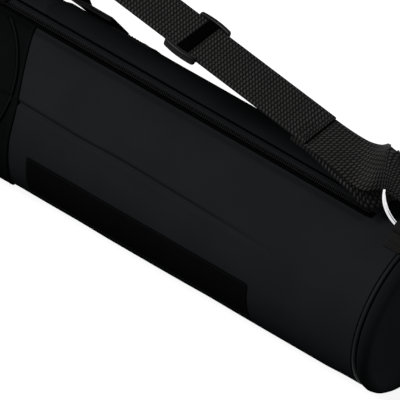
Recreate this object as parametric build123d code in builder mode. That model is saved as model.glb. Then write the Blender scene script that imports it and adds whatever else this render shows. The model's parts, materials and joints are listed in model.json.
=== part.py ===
from build123d import *
import os
from math import cos, degrees, hypot, radians, sin, sqrt

os.makedirs("parts", exist_ok=True)

# A padded cloth carrying tube lying on its flattened underside, in millimetres.
# X runs along the tube, -Y is the labelled front and +Z is up. Angles round the
# tube are counted from the front, over the top (90) and down the back (180).

# Tube
length = 1044.0
diameter = 175.0
base_flat = 60.0
cloth = 1.2
padding = 5.0
lining_cloth = 0.8
layer_gap = 0.1
running_gap = 0.3
end_board = 4.0
piping_height = 5.0
piping_depth = 4.5

# Seams round the tube (degrees)
mouth_front_angle = 91.0
mouth_back_angle = 101.5
lid_fold_angle = 185.0
back_seam_angle = 228.0
front_seam_angle = -48.0
collar = 50.0

# Centre wrap and accessory pocket
wrap_half = 70.0
wrap_slant = 0.48
wrap_raise = 1.7
pocket_half = 95.0
pocket_rise = 76.0
pocket_angle = 39.0
pocket_top_angle = 86.0
pocket_depth = 3.0
pocket_cord = 3.6
pocket_zip_half = 36.0
pocket_zip_angle = 78.0

# Top panels and label
top_panel_start = 58.0
top_panel_angle = 104.0
top_panel_lift = 2.0
top_panel_corner = 14.0
label_gap = 16.0
label_end_gap = 128.0
label_top_angle = 12.5
label_foot_angle = -20.0
label_sheet = 0.8

# Zips
tape = 0.8
coil_width = 2.4
coil_height = 2.2
coil_gap = 0.6
slider_length = 12.0
slider_half = 5.0
slider_plate = 1.2
bail_height = 3.5
pull_length = 20.0
pull_width = 6.4
pull_sheet = 1.5

# Webbing, rings and handle
webbing = 50.0
webbing_sheet = 2.5
ring_wire = 4.5
ring_radius = 30.0
ring_height = 40.0
ring_corner = 5.0
ring_inset = 12.0
ring_lean_angle = 13.0
ring_offset = 4.0
ring_rise = 6.0
tab_width = 20.0
tab_length = 44.0
tab_wall = 2.1
tab_shoulder = 8.0
strap_fall = 0.153
strap_low_inset = 95.0
strap_turn = 60.0
strap_bend = 48.0
adjuster_station = 249.0
adjuster_length = 38.0
adjuster_bar = 3.6
handle_half = 112.0
handle_crest = 20.0
handle_rise = 25.0
handle_angle = 150.0
handle_bend = 90.0
handle_sheet = 5.0
handle_lift = 2.6
foot_sheet = 2.8

radius = diameter / 2
half = length / 2
axis_height = sqrt(radius**2 - (base_flat / 2) ** 2)
shell_half = half - piping_height - layer_gap
mouth_half = half - collar
foam_outer = radius - cloth - layer_gap
foam_inner = foam_outer - padding
lining_outer = foam_inner - layer_gap
lining_inner = lining_outer - lining_cloth
lining_half = shell_half - end_board - layer_gap


def around(angle, reach):
    """The Y and Z of a point at an angle round the tube and a distance from its axis."""
    return (-reach * cos(radians(angle)), axis_height + reach * sin(radians(angle)))


def arc_degrees(distance, reach):
    """The angle that a distance along the surface covers."""
    return degrees(distance / reach)


def station(angle, reach, x=0.0):
    """A plane across the tube, with its x along the surface and its y straight out."""
    y, z = around(angle, reach)
    return Plane(
        origin=(x, y, z),
        x_dir=(0, sin(radians(angle)), cos(radians(angle))),
        z_dir=(1, 0, 0),
    )


def flattened_circle(reach):
    """Draws the tube's section at a distance from its axis, flat where it lies."""
    with Locations((0, axis_height)):
        Circle(reach)
    with Locations((0, max(0.0, radius - reach))):
        Rectangle(2 * diameter, 2 * diameter, align=(Align.CENTER, Align.MIN), mode=Mode.INTERSECT)


def wedge(start, end):
    """Draws the slice of the section between two angles."""
    steps = 4
    rays = [start + (end - start) * i / steps for i in range(steps + 1)]
    Polygon((0, axis_height), *[around(a, 2 * diameter) for a in rays], align=None)


def tube_wall(outer, inner, start, end, left, right):
    """A wall of the tube between two radii, two angles and two stations."""
    with BuildPart() as wall:
        with BuildSketch(Plane.YZ.offset(left)):
            flattened_circle(outer)
        extrude(amount=right - left)
        with BuildSketch(Plane.YZ.offset(left)):
            flattened_circle(inner)
        extrude(amount=right - left, mode=Mode.SUBTRACT)
        with BuildSketch(Plane.YZ.offset(left)):
            wedge(start, end)
        extrude(amount=right - left, mode=Mode.INTERSECT)
    return wall


def keep(piece, name):
    """Labels a finished piece and writes it."""
    piece.part.label = name
    export_step(piece.part, f"parts/{name}.step")


def keep_mirrored(piece, name):
    """Writes a right-hand piece and its mirror image at the other end."""
    keep(piece, f"{name}_right")
    with BuildPart() as other:
        add(mirror(piece.part, about=Plane.YZ))
    keep(other, f"{name}_left")


# Outer cloth -----------------------------------------------------------------

wrap_edge = Plane(origin=(wrap_half, 0, 0), z_dir=(1, wrap_slant, 0))
seam_inset = layer_gap * hypot(1, wrap_slant)
panel_edge = Plane(origin=(wrap_half + seam_inset, 0, 0), z_dir=(1, wrap_slant, 0))
gap_angle = arc_degrees(layer_gap, radius)

with BuildPart() as front_panel:
    add(tube_wall(radius, radius - cloth, front_seam_angle, mouth_front_angle, 0, shell_half).part)
    split(bisect_by=panel_edge, keep=Keep.TOP)
keep_mirrored(front_panel, "front_panel")

wrap_reach = 2 * wrap_half
with BuildPart() as centre_wrap:
    add(
        tube_wall(
            radius + wrap_raise,
            radius - cloth,
            front_seam_angle,
            mouth_front_angle,
            -wrap_reach,
            wrap_reach,
        ).part
    )
    split(bisect_by=wrap_edge, keep=Keep.BOTTOM)
    split(bisect_by=Plane(origin=(-wrap_half, 0, 0), z_dir=(-1, wrap_slant, 0)), keep=Keep.BOTTOM)
keep(centre_wrap, "centre_wrap")

with BuildPart() as bottom_panel:
    add(
        tube_wall(
            radius,
            radius - cloth,
            back_seam_angle - 360,
            front_seam_angle - gap_angle,
            -shell_half,
            shell_half,
        ).part
    )
keep(bottom_panel, "bottom_panel")

fold_gap = arc_degrees(running_gap, radius)
with BuildPart() as back_panel:
    add(
        tube_wall(
            radius,
            radius - cloth,
            lid_fold_angle + fold_gap,
            back_seam_angle - gap_angle,
            -shell_half,
            shell_half,
        ).part
    )
keep(back_panel, "back_panel")

with BuildPart() as end_collar:
    add(
        tube_wall(
            radius,
            radius - cloth,
            mouth_front_angle + gap_angle,
            lid_fold_angle,
            mouth_half + running_gap,
            shell_half,
        ).part
    )
keep_mirrored(end_collar, "end_collar")

# Padding and lining ----------------------------------------------------------

with BuildPart() as foam_front:
    add(
        tube_wall(
            foam_outer,
            foam_inner,
            front_seam_angle,
            mouth_front_angle,
            -shell_half,
            shell_half,
        ).part
    )
keep(foam_front, "foam_front")

with BuildPart() as foam_bottom:
    add(
        tube_wall(
            foam_outer,
            foam_inner,
            back_seam_angle - 360,
            front_seam_angle - gap_angle,
            -shell_half,
            shell_half,
        ).part
    )
keep(foam_bottom, "foam_bottom")

with BuildPart() as foam_back:
    add(
        tube_wall(
            foam_outer,
            foam_inner,
            lid_fold_angle + fold_gap,
            back_seam_angle - gap_angle,
            -shell_half,
            shell_half,
        ).part
    )
keep(foam_back, "foam_back")

with BuildPart() as foam_collar:
    add(
        tube_wall(
            foam_outer,
            foam_inner,
            mouth_front_angle + gap_angle,
            lid_fold_angle,
            mouth_half + running_gap,
            shell_half,
        ).part
    )
keep_mirrored(foam_collar, "foam_collar")

with BuildPart() as lining:
    with BuildSketch(Plane.YZ.offset(-lining_half)):
        flattened_circle(lining_outer)
    extrude(amount=2 * lining_half)
    with BuildSketch(Plane.YZ.offset(-lining_half)):
        flattened_circle(lining_inner)
    extrude(amount=2 * lining_half, mode=Mode.SUBTRACT)
    with BuildSketch(Plane.YZ.offset(-mouth_half - running_gap)):
        wedge(mouth_front_angle, lid_fold_angle + fold_gap)
    extrude(amount=2 * (mouth_half + running_gap), mode=Mode.SUBTRACT)
keep(lining, "lining")

# Ends ------------------------------------------------------------------------

with BuildPart() as end_foam:
    with BuildSketch(Plane.YZ.offset(shell_half - end_board)):
        flattened_circle(foam_inner - layer_gap)
    extrude(amount=end_board)
keep_mirrored(end_foam, "end_foam")

with BuildPart() as end_piping:
    with BuildSketch(Plane.YZ.offset(half - piping_height)):
        flattened_circle(radius)
    extrude(amount=piping_height)
    with BuildSketch(Plane.YZ.offset(half - piping_height)):
        flattened_circle(radius - piping_depth)
    extrude(amount=piping_height, mode=Mode.SUBTRACT)
keep_mirrored(end_piping, "end_piping")

with BuildPart() as end_panel:
    with BuildSketch(Plane.YZ.offset(half - piping_height)):
        flattened_circle(radius - piping_depth - layer_gap)
    extrude(amount=piping_height - cloth)
keep_mirrored(end_panel, "end_panel")

# Lid: the top and back cloth that folds away behind --------------------------

with BuildPart() as lid_panel:
    add(
        tube_wall(
            radius,
            radius - cloth,
            mouth_back_angle,
            lid_fold_angle,
            -mouth_half,
            mouth_half,
        ).part
    )
keep(lid_panel, "lid_panel")

with BuildPart() as lid_foam:
    add(
        tube_wall(
            foam_outer,
            foam_inner,
            mouth_back_angle,
            lid_fold_angle,
            -mouth_half,
            mouth_half,
        ).part
    )
keep(lid_foam, "lid_foam")

with BuildPart() as lid_lining:
    add(
        tube_wall(
            lining_outer,
            lining_inner,
            mouth_back_angle,
            lid_fold_angle,
            -mouth_half,
            mouth_half,
        ).part
    )
keep(lid_lining, "lid_lining")

top_inner = radius + layer_gap
top_outer = top_inner + cloth
top_panel_end = mouth_half - layer_gap
top_panel_foot = lid_fold_angle - top_panel_lift
top_middle = (top_panel_angle + top_panel_foot) / 2
top_spread = radians(top_panel_foot - top_panel_angle) / 2
top_out = (0, -cos(radians(top_middle)), sin(radians(top_middle)))
with BuildPart() as top_panel:
    add(
        tube_wall(
            top_outer,
            top_inner,
            top_panel_angle - top_panel_lift,
            top_panel_foot + top_panel_lift,
            top_panel_start,
            top_panel_end,
        ).part
    )
    with BuildSketch(Plane(origin=(0, 0, axis_height), x_dir=(1, 0, 0), z_dir=top_out)):
        with Locations(((top_panel_start + top_panel_end) / 2, 0)):
            RectangleRounded(
                top_panel_end - top_panel_start, 2 * top_inner * sin(top_spread), top_panel_corner
            )
    extrude(amount=diameter, mode=Mode.INTERSECT)
keep_mirrored(top_panel, "top_panel")

# Label and pocket ------------------------------------------------------------

with BuildPart() as label_patch:
    add(
        tube_wall(
            radius + layer_gap + label_sheet,
            radius + layer_gap,
            label_foot_angle,
            label_top_angle,
            wrap_half + wrap_slant * radius + label_gap,
            half - label_end_gap,
        ).part
    )
keep(label_patch, "label_patch")

pocket_inner = radius + wrap_raise + layer_gap
pocket_out = (0, -cos(radians(pocket_angle)), sin(radians(pocket_angle)))
pocket_plane = Plane(origin=(0, 0, axis_height), x_dir=(1, 0, 0), z_dir=pocket_out)
pocket_span = diameter


def pocket_ring(outer, long_half, short_half, hole_long=0.0, hole_short=0.0):
    """A patch of the wall inside an oval seen straight on, with an oval hole if one is given."""
    with BuildPart() as patch:
        add(
            tube_wall(
                outer, pocket_inner, pocket_angle - 80, pocket_top_angle, -pocket_span, pocket_span
            ).part
        )
        with BuildSketch(pocket_plane):
            Ellipse(long_half, short_half)
            if hole_long:
                Ellipse(hole_long, hole_short, mode=Mode.SUBTRACT)
        extrude(amount=diameter, mode=Mode.INTERSECT)
    return patch


pocket_inside = (pocket_half - pocket_cord, pocket_rise - pocket_cord)
with BuildPart() as pocket_piping:
    add(pocket_ring(pocket_inner + pocket_depth, pocket_half, pocket_rise, *pocket_inside).part)
keep(pocket_piping, "pocket_piping")

panel_inside = (pocket_inside[0] - layer_gap, pocket_inside[1] - layer_gap)
pocket_skin = pocket_inner + pocket_depth - cloth
with BuildPart() as pocket_panel:
    add(pocket_ring(pocket_skin, *panel_inside).part)
keep(pocket_panel, "pocket_panel")

# Zip parts -------------------------------------------------------------------

zip_reach = radius - tape / 2
zip_angle = (mouth_front_angle + mouth_back_angle) / 2
band_half = radians(mouth_back_angle - mouth_front_angle) / 2 * zip_reach
coil_outer = coil_gap + coil_width


def zip_half(side, plane, reach, tape_edge):
    """One side of a zip, tape or coil, drawn across the zip and run to both ends."""
    with BuildPart() as tape_strip:
        with BuildSketch(plane):
            with Locations((side * (coil_outer + tape_edge) / 2, 0)):
                Rectangle(tape_edge - coil_outer - 2 * layer_gap, tape)
        extrude(amount=2 * reach)
    with BuildPart() as coil:
        with BuildSketch(plane):
            with Locations((side * (coil_gap + coil_width / 2), 0)):
                outline = Rectangle(coil_width, coil_height)
            chamfer(outline.vertices(), length=coil_width / 4)
        extrude(amount=2 * reach)
    return tape_strip, coil


def zip_slider(plane, pull_reach, wraps=True):
    """A zip slider with its bail, and its pull lying along +X, at the plane's station."""
    top = coil_height / 2 + running_gap
    bail = Plane(origin=plane.origin, x_dir=(1, 0, 0), z_dir=-plane.x_dir)
    bail_middle = top + slider_plate + bail_height / 2
    with BuildPart() as body:
        with BuildSketch(plane):
            with GridLocations(2 * slider_half - slider_plate, 2 * top, 2, 2):
                Rectangle(slider_plate, slider_plate)
            with Locations((0, top + slider_plate / 2), (0, -top - slider_plate / 2)):
                Rectangle(2 * slider_half, slider_plate)
            Rectangle(3 * slider_half, tape + 2 * running_gap, mode=Mode.SUBTRACT)
            Rectangle(2 * (coil_outer + running_gap), 2 * top, mode=Mode.SUBTRACT)
            if not wraps:
                with Locations((0, -2 * top)):
                    Rectangle(3 * slider_half, 4 * top, mode=Mode.SUBTRACT)
        extrude(amount=slider_length / 2, both=True)
        if wraps:
            with BuildSketch(plane):
                Rectangle(coil_gap, 2 * top + slider_plate)
            extrude(amount=slider_length / 6, both=True)
        with BuildSketch(bail):
            with Locations((0, bail_middle)):
                RectangleRounded(slider_length * 0.66, bail_height + 0.4, 0.8)
            with Locations((0, bail_middle - 0.4)):
                Rectangle(slider_length * 0.4, bail_height - 0.8, mode=Mode.SUBTRACT)
        extrude(amount=1.0, both=True)
    pivot = plane.origin + plane.y_dir * (bail_middle - 0.4)
    with BuildPart() as pull:
        with BuildSketch(Plane(origin=pivot, x_dir=(1, 0, 0), z_dir=plane.y_dir)):
            with Locations((pull_reach / 2, 0)):
                outline = Rectangle(pull_reach, pull_width)
            chamfer(outline.vertices(), length=pull_width / 4)
            with Locations((pull_width / 2 + 0.2, 0)):
                Rectangle(pull_width - 1.0, pull_width - 2.0, mode=Mode.SUBTRACT)
            with Locations((pull_reach - 3.6, 0)):
                Rectangle(4.0, 2.0, mode=Mode.SUBTRACT)
        extrude(amount=pull_sheet / 2, both=True)
    return body, pull, pivot


main_zip = station(zip_angle, zip_reach, -mouth_half)
front_tape, front_coil = zip_half(-1, main_zip, mouth_half, band_half)
keep(front_tape, "zip_tape_front")
keep(front_coil, "zip_coil_front")
rear_tape, rear_coil = zip_half(1, main_zip, mouth_half, band_half)
keep(rear_tape, "zip_tape_rear")
keep(rear_coil, "zip_coil_rear")

slider_station = slider_length / 2 + 1
slider, slider_pull, pull_pivot = zip_slider(
    station(zip_angle, zip_reach, slider_station), pull_length
)
keep_mirrored(slider, "zip_slider")
keep_mirrored(slider_pull, "zip_pull")

pocket_zip_reach = pocket_skin + layer_gap + coil_height / 2
with BuildPart() as pocket_coil:
    with BuildSketch(station(pocket_zip_angle, pocket_zip_reach, -pocket_zip_half)):
        coil_outline = Rectangle(2 * coil_width, coil_height)
        chamfer(coil_outline.vertices(), length=coil_width / 4)
    extrude(amount=2 * pocket_zip_half)
keep(pocket_coil, "pocket_zip_coil")

pocket_slider_station = -pocket_zip_half + slider_length / 2
pocket_slider, pocket_pull, pocket_pivot = zip_slider(
    station(pocket_zip_angle, pocket_zip_reach, pocket_slider_station), pull_length, wraps=False
)
keep(pocket_slider, "pocket_zip_slider")
keep(pocket_pull, "pocket_zip_pull")

# Rings and their tabs --------------------------------------------------------

lean = radians(ring_lean_angle)
pivot_height = axis_height + radius + ring_rise
strap_plane = Plane(
    origin=(0, ring_offset, pivot_height), x_dir=(1, 0, 0), z_dir=(0, -cos(lean), sin(lean))
)
ring_x = half - ring_inset

with BuildPart() as d_ring:
    low = ring_radius
    high = ring_height - ring_corner
    left_x = ring_x - ring_radius
    right_x = ring_x + ring_radius
    with BuildLine(strap_plane) as ring_path:
        ThreePointArc((left_x, low), (ring_x, 0), (right_x, low))
        Polyline(
            (right_x, low),
            (right_x, high),
            (right_x - ring_corner, ring_height),
            (left_x + ring_corner, ring_height),
            (left_x, high),
            (left_x, low),
        )
    with BuildSketch(Plane(origin=ring_path.line @ 0, x_dir=(1, 0, 0), z_dir=ring_path.line % 0)):
        RegularPolygon(ring_wire / 2, 6)
    sweep(path=ring_path.line, transition=Transition.RIGHT)
keep_mirrored(d_ring, "d_ring")

# The bore is wide enough for the ring's arc to pass through the tab's whole width.
arc_inside = ring_radius - ring_wire / 2 - running_gap
tab_bore = ring_radius - sqrt(arc_inside**2 - (tab_width / 2) ** 2)
tab_eye = tab_bore + tab_wall
with BuildPart() as ring_tab:
    with BuildSketch(Plane.YZ.offset(ring_x - tab_width / 2)):
        with Locations((ring_offset, pivot_height)):
            Circle(tab_eye)
        with BuildLine():
            Polyline(
                (ring_offset - tab_eye, pivot_height),
                (ring_offset - tab_length / 2, pivot_height - tab_shoulder),
                (ring_offset - tab_length / 2, axis_height),
                (ring_offset + tab_length / 2, axis_height),
                (ring_offset + tab_length / 2, pivot_height - tab_shoulder),
                (ring_offset + tab_eye, pivot_height),
                close=True,
            )
        make_face()
    extrude(amount=tab_width)
    with BuildSketch(Plane.YZ.offset(ring_x - tab_width)):
        with Locations((0, axis_height)):
            Circle(radius + layer_gap)
    extrude(amount=2 * tab_width, mode=Mode.SUBTRACT)
    with BuildSketch(Plane.YZ.offset(ring_x - tab_width)):
        with Locations((ring_offset, pivot_height)):
            Circle(tab_bore)
    extrude(amount=2 * tab_width, mode=Mode.SUBTRACT)
keep_mirrored(ring_tab, "ring_tab")

# Shoulder strap --------------------------------------------------------------

strap_low_x = half - strap_low_inset
eye_inner = ring_wire / 2 + running_gap
strap_low = ring_height + eye_inner + webbing_sheet + running_gap + webbing_sheet / 2


def strap_line(x):
    """The height of the strap's straight run over the ring pivots."""
    return strap_low + strap_fall * (strap_low_x - x)


with BuildPart() as shoulder_strap:
    with BuildLine(strap_plane) as strap_path:
        FilletPolyline(
            (-half, strap_low),
            (-strap_low_x, strap_low),
            (-strap_turn, strap_line(strap_turn)),
            (strap_turn, strap_line(strap_turn)),
            (strap_low_x, strap_low),
            (half, strap_low),
            radius=strap_bend,
        )
    strap_across = Vector(0, cos(lean), -sin(lean))
    with BuildSketch(
        Plane(origin=strap_path.line @ 0, x_dir=strap_across, z_dir=strap_path.line % 0)
    ):
        Rectangle(webbing, webbing_sheet)
    sweep(path=strap_path.line)
keep(shoulder_strap, "shoulder_strap")

eye_width = 2 * (ring_radius - ring_corner) - 2
eye_center = strap_plane.from_local_coords((ring_x, ring_height, 0))
with BuildPart() as strap_eye:
    with BuildSketch(Plane(origin=eye_center, x_dir=strap_plane.y_dir, z_dir=(1, 0, 0))):
        Circle(eye_inner + webbing_sheet)
        Circle(eye_inner, mode=Mode.SUBTRACT)
    extrude(amount=eye_width / 2, both=True)
keep_mirrored(strap_eye, "strap_eye")

slope = Vector(1, 0, 0) - strap_plane.y_dir * strap_fall
adjuster_origin = strap_plane.from_local_coords((adjuster_station, strap_line(adjuster_station), 0))
adjuster_plane = Plane(origin=adjuster_origin, x_dir=slope, z_dir=slope.cross(strap_across) * -1)
under = webbing_sheet / 2 + running_gap + adjuster_bar / 2
rail_y = webbing / 2 + running_gap + adjuster_bar / 2
rail_height = 2 * under + adjuster_bar
bar_shift = (adjuster_length - adjuster_bar) / 2
with BuildPart() as strap_adjuster:
    for side in (-1, 1):
        rail_start = adjuster_plane.from_local_coords((0, side * rail_y - adjuster_bar / 2, 0))
        with BuildSketch(
            Plane(origin=rail_start, x_dir=adjuster_plane.x_dir, z_dir=adjuster_plane.y_dir)
        ):
            rail_outline = Rectangle(adjuster_length, rail_height)
            chamfer(rail_outline.vertices(), length=adjuster_bar / 2)
        extrude(amount=adjuster_bar)
    for along, lift in ((-bar_shift, -under), (0, under), (bar_shift, -under)):
        bar_start = adjuster_plane.from_local_coords((along, -rail_y, lift))
        with BuildSketch(
            Plane(origin=bar_start, x_dir=adjuster_plane.x_dir, z_dir=adjuster_plane.y_dir)
        ):
            Rectangle(adjuster_bar, adjuster_bar)
        extrude(amount=2 * rail_y)
keep(strap_adjuster, "strap_adjuster")

# Carry handle ----------------------------------------------------------------

foot_inner = top_outer + layer_gap
foot_half_angle = arc_degrees(webbing / 2, radius)
with BuildPart() as handle_foot:
    add(
        tube_wall(
            foot_inner + foot_sheet,
            foot_inner,
            handle_angle - foot_half_angle,
            handle_angle + foot_half_angle,
            handle_half + running_gap,
            handle_half + webbing,
        ).part
    )
keep_mirrored(handle_foot, "handle_foot")

handle_y, handle_z = around(handle_angle, foot_inner)
handle_across = (0, sin(radians(handle_angle)), cos(radians(handle_angle)))
handle_plane = Plane(
    origin=(0, handle_y, handle_z), x_dir=(1, 0, 0), z_dir=Vector(handle_across) * -1
)
handle_base = handle_lift + handle_sheet / 2
with BuildPart() as carry_handle:
    with BuildLine(handle_plane) as handle_path:
        FilletPolyline(
            (-handle_half, handle_base),
            (-handle_crest, handle_rise),
            (handle_crest, handle_rise),
            (handle_half, handle_base),
            radius=handle_bend,
        )
    with BuildSketch(
        Plane(origin=handle_path.line @ 0, x_dir=handle_across, z_dir=handle_path.line % 0)
    ):
        Rectangle(webbing, handle_sheet)
    sweep(path=handle_path.line)
keep(carry_handle, "carry_handle")

print("lid fold", around(lid_fold_angle, radius))
print("ring pivot", ring_offset, pivot_height)
print("handle pivot", around(handle_angle, foot_inner + handle_base))
print("pull pivots", pull_pivot, pocket_pivot)
print("strap slope", slope.normalized())
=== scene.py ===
import json
import math

import bmesh
import bpy
from mathutils import Matrix, Vector, noise


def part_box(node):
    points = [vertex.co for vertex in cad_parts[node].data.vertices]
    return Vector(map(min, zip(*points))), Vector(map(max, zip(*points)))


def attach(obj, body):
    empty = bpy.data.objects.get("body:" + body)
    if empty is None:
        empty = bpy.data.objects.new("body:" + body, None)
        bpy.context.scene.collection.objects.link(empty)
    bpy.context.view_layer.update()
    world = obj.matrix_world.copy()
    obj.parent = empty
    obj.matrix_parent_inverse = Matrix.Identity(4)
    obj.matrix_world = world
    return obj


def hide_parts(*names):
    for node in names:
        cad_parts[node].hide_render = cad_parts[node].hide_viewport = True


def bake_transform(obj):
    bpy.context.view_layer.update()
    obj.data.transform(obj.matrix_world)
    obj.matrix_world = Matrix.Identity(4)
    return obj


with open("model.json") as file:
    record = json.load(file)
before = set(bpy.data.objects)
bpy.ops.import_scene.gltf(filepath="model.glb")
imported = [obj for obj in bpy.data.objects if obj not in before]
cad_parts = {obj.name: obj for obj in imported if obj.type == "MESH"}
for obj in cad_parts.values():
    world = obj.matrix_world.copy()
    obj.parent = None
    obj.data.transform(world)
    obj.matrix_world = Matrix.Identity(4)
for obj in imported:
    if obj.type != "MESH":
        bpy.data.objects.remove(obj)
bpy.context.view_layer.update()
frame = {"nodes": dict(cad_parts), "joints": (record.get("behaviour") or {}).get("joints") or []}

bl_info = {
    "name": "Padded Drawing Tube",
    "version": (1, 0, 0),
    "blender": (4, 5, 0),
    "location": "View3D > Sidebar > Drawing Tube",
    "description": "Builds the cloth, zips, webbing and fittings of a padded drawing tube",
    "category": "Add Mesh",
}

SIDES = (("right", 1), ("left", -1))

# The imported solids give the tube's main sizes, in metres: how far the body's cloth stands from
# the middle line, how high that line runs, and half the length of the body, of the whole tube
# and of the zipped mouth.
front_low, front_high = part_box("front_panel_right")
RADIUS = -front_low.y
AXIS = front_high.z - RADIUS
SHELL = front_high.x
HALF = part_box("end_piping_right")[1].x
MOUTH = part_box("lid_panel")[1].x
LABEL_LOW, LABEL_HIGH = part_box("label_patch")
TOP_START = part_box("top_panel_right")[0].x
TAB_LOW, TAB_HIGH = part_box("ring_tab_right")
FOOT_LOW, FOOT_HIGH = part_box("handle_foot_right")

# Seams round the tube, in degrees from the front over the top, and the gap that two panels
# leave at one.
FRONT_SEAM = -48.0
MOUTH_FRONT = 91.0
FRONT_ROLL = 92.4
ZIP_MIDDLE = 96.25
MOUTH_BACK = 101.5
TOP_EDGE = 104.0
TOP_FOOT = 183.0
FOLD_END = 190.0
BACK_SEAM = 228.0
LABEL_FOOT = -20.0
LABEL_TOP = 12.5
HANDLE_ANGLE = 150.0
SEAM_GAP = 0.1

# The rounded corners of the top panels and of the label.
TOP_CORNER = 0.014
LABEL_CORNER = 0.003

# The main zip: half its coil's length, and how far each half of the coil and each tape's two
# edges lie from its middle.
COIL_END = MOUTH - 0.004
COIL_MIDDLE = 0.00162
TAPE_EDGES = (0.0031, 0.0079)

# The lid's fold lies between these two angles; no piece is bent round it.
FOLD_BAG = FOLD_END - 0.8
FOLD_LID = 180.8

# Gaps between two layers, and between the lid and the collars beside it.
LAYER_GAP = 0.0001
COLLAR_GAP = 0.0003

# A stitch's thickness, and its share of the distance to the next one.
STITCH_RADIUS = 0.00032
STITCH_SHARE = 0.62

# The long crease on the front: its angle at one place along the tube, and where it starts and
# begins to fade.
CREASE_ANGLE = 44
CREASE_X = 0.08
CREASE_START = 0.06
CREASE_FADE = 0.28

# The centre wrap: half its width, the slant of its edges, and how far it stands out.
WRAP_HALF = 0.070
WRAP_SLANT = 0.48
WRAP_RAISE = 0.0017
WRAP_GAP = 0.00012

# The wrap's pocket, an oval with a straight top: its angles, half sizes and thickness, and how
# far its cloth and its piping stay inside its edge.
POCKET_ANGLE = 39.0
POCKET_TOP = 86.0
POCKET_HALF = 0.095
POCKET_RISE = 0.076
POCKET_ZIP = 78.0
POCKET_SHEET = 0.0012
POCKET_STANDS = 0.003
POCKET_HEM = 0.0035
POCKET_CORD = 0.0013
CORD_INSET = 0.0018

# The carry handle: half its length, where its slope begins and ends, its heights in the middle
# and at its feet over its base, its roll in the middle, and its two layers.
HANDLE_HALF = 0.110
HANDLE_SLOPE = (0.020, 0.072)
HANDLE_RISE = 0.025
HANDLE_LIFT = 0.0012
HANDLE_BASE = RADIUS + 0.0014
HANDLE_ROLL = math.radians(17)
HANDLE_SHEET = 0.0023
HANDLE_LAYERS = (("outer", 0.0038), ("inner", 0.0012))

# The D-rings swing on a line above the tube, and the strap leans back with them.
JOINTS = {joint["name"]: joint for joint in frame["joints"]}
PIVOT = Vector(JOINTS["strap_swing"]["pos_m"])
LEAN = math.radians(13)
UP = Vector((0, math.sin(LEAN), math.cos(LEAN)))
ACROSS = Vector((0, math.cos(LEAN), -math.sin(LEAN)))
ALONG = Vector((1, 0, 0))
RING_X = HALF - 0.012
RING_RADIUS = 0.030
RING_HEIGHT = 0.040
RING_WIRE = 0.0045
RING_CORNER = 0.005

# The strap climbs from a low point near each ring to its turn in the middle, rolled by a few
# degrees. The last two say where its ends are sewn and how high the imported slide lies.
STRAP_LOW_X = HALF - 0.095
STRAP_LOW = 0.0515
STRAP_FALL = 0.165
STRAP_TURN = 0.075
STRAP_ROLL = 5
SEWN_END = 0.400
SLIDE_LEVEL = 0.0466 + 0.153 * (STRAP_LOW_X - 0.249)

# The middle of the view, the key lamp, and the floor.
AIM = Vector((0.3196, -0.0642, 0.1497))
LAMP_SPOT = Vector((-0.9, -1.5, 3.05))
LAMP_AIM = Vector((0, 0, 0.08))
LAMP_SIZE = 1.4
FLOOR_LEVEL = -0.0005
FLOOR_TONE = 0.24
FLOOR_GLOW = 0.9


def metres(name, description, default):
    """A length that a user can set."""
    return bpy.props.FloatProperty(name=name, description=description, default=default, unit="LENGTH")


def degrees(name, description, default):
    """An angle that a user can set, with its default in degrees."""
    return bpy.props.FloatProperty(
        name=name, description=description, default=math.radians(default), subtype="ANGLE"
    )


def shade(name, description, *default):
    """A colour that a user can set."""
    return bpy.props.FloatVectorProperty(
        name=name, description=description, subtype="COLOR", default=default
    )


class TubeSizes(bpy.types.PropertyGroup):
    cloth: metres("Cloth", "Thickness of the outer cloth", 0.0012)
    padding: metres("Padding", "Thickness of the foam", 0.005)
    lining: metres("Lining", "Thickness of the lining", 0.0008)
    fullness: metres("Fullness", "How far the cloth stands out between its seams", 0.0009)
    ripple: metres("Ripple", "Depth of the cloth's soft waves", 0.0006)
    crease: metres("Crease", "Depth of the long crease on the front", 0.0036)
    piping: metres("Piping", "Radius of the end piping", 0.0023)
    webbing: metres("Webbing", "Width of the strap and handle webbing", 0.050)
    webbing_sheet: metres("Webbing thickness", "Thickness of the webbing", 0.0025)
    coil_pitch: metres("Zip pitch", "Distance between two turns of a zip coil", 0.0022)
    stitch_pitch: metres("Stitch", "Distance between two stitches", 0.0034)


class TubeColours(bpy.types.PropertyGroup):
    cloth: shade("Cloth", "Outer pack cloth", 0.0105, 0.0118, 0.0125)
    cloth_shade: shade("Cloth weave gaps", "Dark gaps of the outer cloth's weave", 0.0058, 0.0064, 0.0068)
    dark_cloth: shade(
        "Top cloth", "Smoother cloth of the top panels, wrap and ends", 0.0030, 0.0032, 0.0033
    )
    webbing: shade("Webbing", "Ribbed strap webbing", 0.021, 0.020, 0.0195)
    webbing_gap: shade("Webbing gaps", "Gaps between the webbing's yarns", 0.0012, 0.0012, 0.0012)
    label: shade("Label", "Smooth bare label", 0.0022, 0.0022, 0.0024)
    lining: shade("Lining", "Inner cloth", 0.030, 0.031, 0.033)
    foam: shade("Foam", "Padding foam", 0.045, 0.046, 0.05)
    chrome: shade("Chrome", "Plated D-rings", 0.78, 0.78, 0.80)
    plastic: shade("Plastic", "Moulded strap slide", 0.0030, 0.0030, 0.0031)


class TubeStage(bpy.types.PropertyGroup):
    azimuth: degrees("Azimuth", "Camera's angle round the tube", 38)
    elevation: degrees("Elevation", "Camera's angle above the floor", 47.6)
    width: metres("View width", "Width that the view takes in", 0.37714)
    key: bpy.props.FloatProperty(
        name="Key lamp", description="Strength of the soft key lamp", default=178.0, unit="POWER"
    )
    sky: bpy.props.FloatProperty(
        name="Room light", description="Strength of the even room light", default=0.12
    )


def sizes():
    return bpy.context.scene.tube_sizes


def colours():
    return bpy.context.scene.tube_colours


# Shape of the tube ------------------------------------------------------------


def ease(share):
    """Goes smoothly from 0 to 1."""
    share = min(1.0, max(0.0, share))
    return share * share * (3 - 2 * share)


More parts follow.
